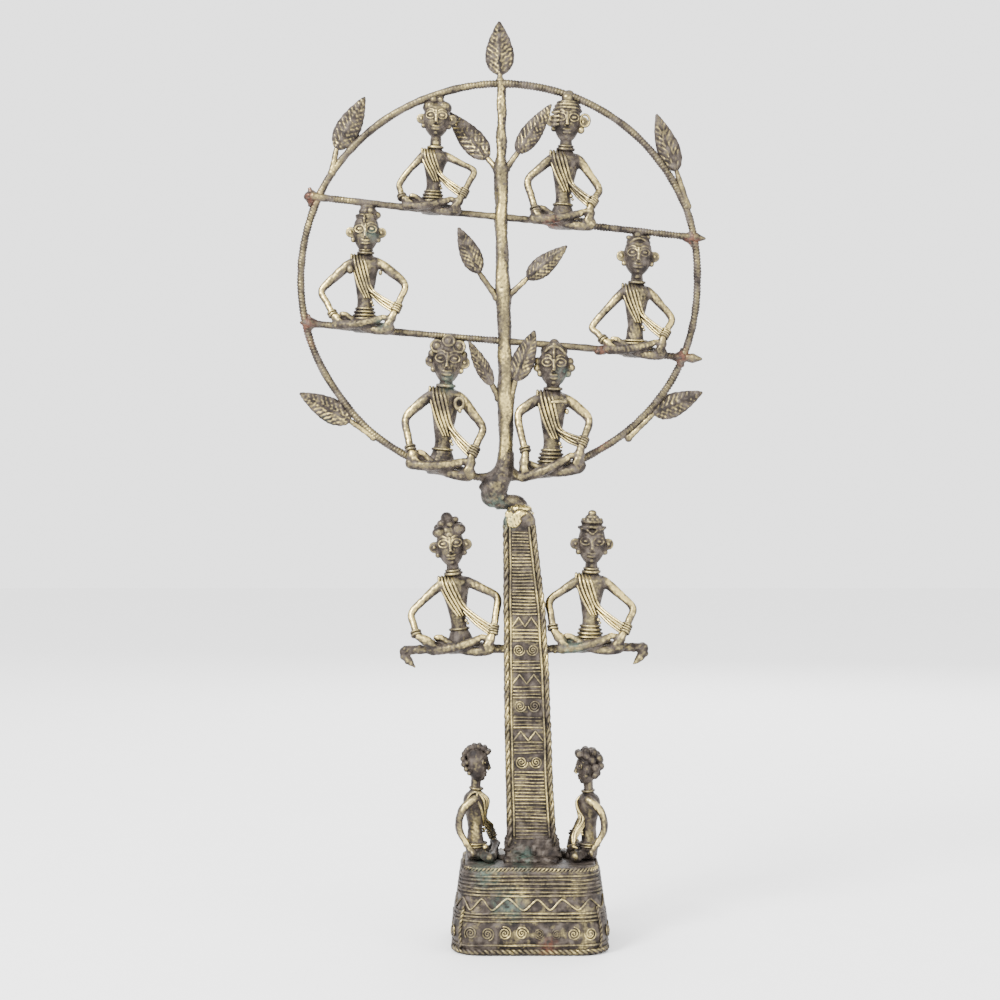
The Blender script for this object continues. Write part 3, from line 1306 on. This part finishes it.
def hair_curls():
    loops = []
    for x, z, size in ((-4.9, 53.6, 2.6), (4.6, 53.8, 2.5), (0, 56.2, 2.4)):
        loops.append(wire_ring((x, -3.2, z), (1, 0, 0), (0, 0.3, 1), size, 0.75, 8, 28))
        loops.append(ball((x, -2.8, z), (size * 0.7, 1.6, size * 0.7)))
    return [*eggs((0, 1, 54, 6.3, 5.4, 3.8), (-6.9, -0.4, 50.4, 2.0, 1.9, 2.1),
                  (6.9, -0.2, 50.6, 1.8, 1.8, 2), (0.4, 1, 58, 4, 3.4, 2)),
            *loops, *bead_row(6, 5.4, 56, 20, 160, 1.9)]


def hair_band():
    lumps = eggs((7.2, 0.6, 49.4, 1.8, 1.8, 1.9), (7.8, 0.4, 46.6, 1.9, 1.8, 1.9),
                 (6.4, 0.2, 43.8, 1.7, 1.6, 1.7), (-7.2, 0.6, 49.2, 1.8, 1.8, 1.9),
                 (-7.4, 0.4, 46.2, 1.8, 1.8, 1.8), (-5.9, 0.2, 43.6, 1.6, 1.6, 1.6))
    strip = limb([(-0.2, -4.9, 54.6), (-0.2, -5.8, 52.4), (-0.2, -6.2, 50.2)], (0.7, 0.95, 0.6), 8, 0.4)
    return [*eggs((0, 1, 53.8, 6.2, 5.4, 3.6), (0, 0.2, 57.2, 2.4, 2.3, 2.2), (0, -1.6, 56.2, 1.9, 1.7, 1.6)),
            *lumps, strip, arc_over(55.6, 6.1, 0.8, 5.2), band(56.6, 3.4, 0.6)]


def hair_balls():
    return [*eggs((0, 1, 54, 6, 5.2, 3.6), (0, 0.8, 57.4, 3.6, 3.2, 3), (-4.5, -2.2, 53.8, 3.3, 2.8, 2.5),
                  (4.6, -2.4, 54.4, 3.4, 2.9, 2.8), (-3, -0.6, 57.4, 2.3, 2.2, 2.2),
                  (-0.4, -0.8, 60.2, 2.8, 2.7, 2.7), (3.4, -0.2, 58.9, 1.7, 1.7, 1.7),
                  (0.8, -2.6, 57, 1.9, 1.7, 1.7)),
            *bead_row(5, 5.2, 55.8, 20, 160, 2.1)]


def hair_tiers():
    fringe = limb([(-5.4, -2.9, 54.2), (-2.6, -4.5, 53.6), (0, -5.5, 51.8), (2.6, -4.5, 53.6),
                   (5.4, -2.9, 54.2)], (0.55, 0.7, 0.7, 0.7, 0.55), 8, 0.4)
    return [*eggs((0, 1, 54.2, 6, 5.2, 2.8)), fringe, band(54.8, 5.9, 0.8), band(57.2, 4.4, 1.0),
            *eggs((0, 0.9, 57.2, 4.3, 3.8, 1.7), (0, 0.9, 59.4, 3.3, 3, 1.5), (0, 0.6, 61.2, 2.1, 2, 1.6)),
            *bead_row(7, 4.1, 58.2, 180, 360, 1.0)]


def hair_crown():
    arcs = bead_arcs(((-3, 9), (0, 10), (3, 9)), 7.2, 1.55, 35, 222)
    return [*eggs((0, 1.2, 51.6, 5.4, 5.6, 4.6)), *arcs, *bead_row(3, 6.6, 48.4, 60, 120, 1.4)]


def hair_lumps():
    lumps = eggs((0, 1.8, 51.6, 5.4, 5.8, 4.8)) + bead_arcs(((-3.4, 6), (0, 7), (3.4, 6)), 7.0, 2.35, 48, 225)
    for side in (-1, 1):
        lumps += eggs((side * 5.2, 3, 51.6, 2.2, 2.4, 2.4), (side * 5.4, 5, 47.6, 2.2, 2.4, 2.4),
                      (side * 5, 4.6, 43.6, 1.9, 2.1, 2.2), (side * 5, 0, 54, 2, 2.2, 2.2))
    return lumps


HAIR = {"parted": hair_parted, "turban": hair_turban, "tall": hair_tall, "smooth": hair_smooth,
        "curls": hair_curls, "band": hair_band, "balls": hair_balls, "tiers": hair_tiers,
        "crown": hair_crown, "lumps": hair_lumps}


def head_shape(style, half_width):
    shape = Shape(skull(half_width), *nose_skins(half_width), *mouth_skins(half_width))
    for side in (-1, 1):
        shape.add(*eye_skins(side, half_width), brow(side, half_width))
    shape.add(ball(on_face(0, -6.9, half_width, -0.5), 1.4))
    shape.add(limb([(0, 1.4, 34), (0, 1.2, 38), (0, 0.8, 40)], (2.6, 2.4, 2.5), 16))
    shape.add(*HAIR[style]())
    if style == "crown":
        shape.add(ball((-5.2, 4.4, 43), 1.3), ball((5.2, 4.4, 43), 1.3))
    elif style != "band":
        shape.add(*ear_skins(half_width))
    return shape


def body_shape(figure):
    """Torso, arms, hands and legs in the figure's own frame."""
    upper = Shape(torso(figure.skirt)).moved(leaned, figure.lean)
    for side in (-1, 1):
        route = arm_route(figure, side)
        girth = ARM_GIRTH
        knee = leaned((side * 12.2, -7.4, 2.2), figure.tilt)
        if turned_away(figure, side):
            girth = BACK_ARM_GIRTH
            knee = np.array((route[-1][0], 1.5, 0.6))
        upper.add(limb(route, girth, 12, 0.7), *hand_skins(route[-1], side, knee))
    return upper.join(Shape(*leg_skins()).moved(leaned, figure.tilt))


# ---- Shawls, collars, belts and bangles ----

def shawl_wires(figure):
    """Wires from behind the left shoulder down across the chest, to the waist or to the right wrist."""
    lean = figure.lean
    wrist = figure.right_wrist
    skins = []
    for strand in range(5):
        shift = strand * 1.45
        spots = [(-6.4 + shift * 0.9, 5.4, 28.5), (-6.6 + shift, 3.4, 32.2), (-6.9 + shift, 0.4, 33.4),
                 (-6.7 + shift * 1.15, 0, 29.6), (-4.9 + shift * 1.12, 0, 24.5),
                 (-2.4 + shift * 1.05, 0, 19.2), (0.2 + shift * 0.8, 0, 14.6)]
        spots = [(x, y if y else min(torso_front(x, z, figure.skirt), 1.2) - 0.45, z) for x, y, z in spots]
        spots = list(leaned(spots, lean))
        if strand > 2:
            step = strand - 3
            hand = np.array((wrist[0] - 0.6 + step * 0.5, WRIST_Y - 0.9, wrist[1] + 2.6 + step * 1.1))
            spots[-1:] = [spots[-2] * 0.55 + hand * 0.45 + (0, -0.5, -0.7), hand]
        thick = (0.5, *([0.68] * (len(spots) - 2)), 0.5)
        skins.append(limb(spots, thick, 8, 0.6))
    for strand in range(3):
        start = leaned((2.6 - strand * 0.2, 0.4, 20.4 - strand * 1.5), lean)
        hand = np.array((wrist[0] - 0.9 - strand * 0.3, WRIST_Y - 0.5, wrist[1] + 1.9 - strand * 1.0))
        middle = (start + hand) / 2 + (0, -0.7, -0.8)
        skins.append(limb([start, middle, hand], (0.6, 0.66, 0.55), 8, 0.6))
    return skins


def bangles(route, count, first, gap):
    """Wire rings round a forearm, counted up from the hand."""
    path = curve(route, 0.3)
    away = travelled(path[::-1])[::-1]
    skins = []
    for i in range(count):
        spot = np.argmin(np.abs(away - first - i * gap))
        along = unit(path[spot] - path[max(spot - 2, 0)])
        across = unit(np.cross(along, (0, 1, 0.2)))
        skins.append(wire_ring(path[spot], across, np.cross(along, across), 2.05, 0.62, 8, 26))
    return skins


def collar(style):
    rings = [wire_ring((0, WAIST_Y - 0.6, 34.6), (1, 0, 0), (0, 1, 0.1), (3.7, 3.2), 0.75, 8, 34)]
    if style in ("turban", "balls", "tall", "tiers"):
        rings.append(wire_ring((0, WAIST_Y - 0.6, 36), (1, 0, 0), (0, 1, 0.1), (3.2, 2.9), 0.6, 8, 34))
    return rings


def belts(skirt):
    """Wire coils round the waist."""
    places = {"bell": ((1.9, 7.0), (8.9, 4.2)), "belts": ((9.6, 4.3), (7.9, 4.9), (6.2, 5.4), (4.5, 5.8)),
              "column": ((5.7, 6.1), (4.3, 6.4))}[skirt]
    return [wire_ring((0, WAIST_Y, z), (1, 0, 0), (0, 1, 0), (r, r * DEPTH), 0.68, 8, 44) for z, r in places]


def extras(name, lean):
    """Small things that only one figure wears."""
    drop = [ball(leaned((3.6, -1.6, 12.6), lean), 0.9, 7, 10),
            ball(leaned((4.3, -1.4, 11.2), lean), 0.7, 7, 10)]
    if name == "top_right":
        drop.append(wire_ring(leaned((8.2, -0.6, 48), lean), (1, 0, 0), (0, 0, 1), (2.2, 2.8), 0.6))
        drop.append(ball(leaned((6.6, -0.6, 43.4), lean), 1.7))
    if name == "middle_left":
        drop.append(ball(leaned((-7.4, -1.4, 26.6), lean), 1.9))
        drop.append(ball(leaned((7.6, -0.4, 25.6), lean), 1.0))
    if name == "lower_left":
        drop.append(wire_ring(leaned((6.4, -3.4, 27.4), lean), (1, 0, 0), (0, 0, 1), 1.9, 0.8))
        drop.append(ball(leaned((6.8, -3.4, 24.8), lean), 0.9))
    if name == "lower_right":
        drop.append(limb(leaned([(-1, -5, 28.4), (2.4, -4.6, 28.8), (6, -2.6, 29)], lean), (0.5, 0.9, 1.2)))
        drop.append(ball(leaned((6.4, -0.6, 25.4), lean), 1.0))
    return drop


def ornament_shape(name, figure):
    """Everything of crisp wire that a figure wears, in its own frame."""
    shape = Shape(*collar(figure.headdress), *belts(figure.skirt), shine=0.04).moved(leaned, figure.lean)
    shape.add(*shawl_wires(figure), shine=0.12)
    shape.add(*extras(name, figure.lean), shine=0.06)
    for side, count, first, gap, shine in ((1, 4, 0.2, 1.25, 0.06), (-1, 2, 0.4, 1.4, 0.0)):
        if not turned_away(figure, side):
            shape.add(*bangles(arm_route(figure, side), count, first, gap), shine=shine)
    return shape


def make_figure(number, name, figure, patina, worn):
    body = cast(body_shape(figure), 0.44, 2, 0.05, 100 + number, 0.0)
    x, _, z = body.points.T
    arms = np.clip((np.abs(x) - 6) / 3, 0, 1) * np.clip((z - 2) / 4, 0, 1)
    body.shine = body.shine + arms * (0.1 + 0.2 * body.normals()[:, 2])
    head = head_shape(figure.headdress, figure.half_face)
    head = cast(head, 0.27, 2, 0.035, 120 + number, figure.head_shine)
    wires = ornament_shape(name, figure)
    if abs(figure.turn) > SIDE_ON:
        body = body.moved(swollen)
        wires = wires.moved(swollen)
    solid = body.moved(shrugged, figure.shoulder_rise).join(head.moved(leaned, figure.lean))
    solid = solid.moved(seated, figure)
    make_piece(f"{name}_casting", solid, patina, "patinated_brass", f"figure_{name}")
    wires = wires.moved(shrugged, figure.shoulder_rise).moved(seated, figure)
    make_piece(f"{name}_shawl", wires, worn, "worn_brass", f"shawl_{name}")


# ---- Assembly ----

def make_base(patina, worn):
    make_piece("base_casting", base_shell(), patina, "patinated_brass", "base_shell")
    make_piece("base_wire_bands_cast", base_bands(), worn, "worn_brass", "base_wire_bands")
    make_piece("base_zigzag_cast", base_zigzag(), worn, "worn_brass", "base_zigzag")
    make_piece("base_coils", base_coils(), worn, "worn_brass", "base_spirals")
    make_piece("base_foot_rope", base_foot_rope(), patina, "worn_brass", "base_bottom_rope")
    make_piece("base_corner_ropes_cast", base_corner_ropes(), patina, "worn_brass", "base_corner_ropes")
    make_piece("base_braid", base_braid(), worn, "worn_brass", "base_top_braid")
    make_piece("plinth", base_plinth(), patina, "patinated_brass", "base_plinth")


def make_trunk(patina, worn, yellow):
    make_piece("trunk_casting", foot_shaded(trunk_body()), patina, "patinated_brass", "trunk_body")
    left = foot_shaded(trunk_rope(LEFT_EDGE, 1, 25))
    right = foot_shaded(trunk_rope(RIGHT_EDGE, -1, 26))
    make_piece("rope_left", left, patina, "worn_brass", "trunk_rope_left")
    make_piece("rope_right", right, patina, "worn_brass", "trunk_rope_right")
    make_piece("border_wires", foot_shaded(trunk_borders()), worn, "worn_brass", "trunk_border_wires")
    make_piece("ladder_wires", foot_shaded(trunk_ladder()), worn, "worn_brass", "trunk_ladder_wires")
    make_piece("trunk_coils", trunk_coils(), worn, "worn_brass", "trunk_spirals")
    make_piece("trunk_zigzags_cast", trunk_zigzags(), worn, "worn_brass", "trunk_zigzags")
    make_piece("cap_lump", trunk_cap(), yellow, "yellow_braze", "trunk_cap_braze")


def make_tree(patina, copper):
    make_piece("neck_casting", neck(), patina, "patinated_brass", "neck")
    make_piece("stem_casting", stem(), patina, "patinated_brass", "stem")
    make_piece("ring_wound", ring_bar(), patina, "patinated_brass", "ring")
    upper = branch(6.1, branch_middle("upper_branch"), 198,
                   ((0, 0.06, 0.1, 0.14, 0.62, 0.66, 0.95, 1), (0.4, 0.4, 0.5, 1, 1, 0.1, 0.1, 1)), 27)
    make_piece("upper_bar", upper, patina, "patinated_brass", "upper_branch")
    lower = branch(5.2, branch_middle("lower_branch"), 198,
                   ((0, 0.3, 0.34, 0.5, 0.54, 0.72, 0.76, 1), (0.8, 0.8, 0.3, 0.3, 1, 1, 0.2, 0.2)), 29)
    make_piece("lower_bar", lower, patina, "patinated_brass", "lower_branch")
    make_piece("perch_casting", perch(), patina, "patinated_brass", "perch_bar")
    make_piece("joint_webs", joint_webs(), copper, "copper_braze", "braze_joints")


def dress_clay_core():
    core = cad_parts["trunk_clay_core"]
    core.data.materials.clear()
    core.data.materials.append(clay_material())


def build():
    patina = brass_material("patinated_brass", (0.64, 0.50, 0.19), 0.0)
    worn = brass_material("worn_brass", (0.66, 0.52, 0.21), -0.02)
    yellow = brass_material("yellow_braze", (0.74, 0.58, 0.20), 0.15)
    copper = brass_material("copper_braze", (0.46, 0.26, 0.14), -0.05)
    make_base(patina, worn)
    make_trunk(patina, worn, yellow)
    make_tree(patina, copper)
    for number, (name, leaf) in enumerate(LEAVES.items()):
        make_piece(f"{name}_leaf", leaf_shape(number, leaf), patina, "patinated_brass", f"leaf_{name}")
    for number, (name, figure) in enumerate(FIGURES.items()):
        make_figure(number, name, figure, patina, worn)
    dress_clay_core()


make_camera()
make_floor()
make_light()
build()
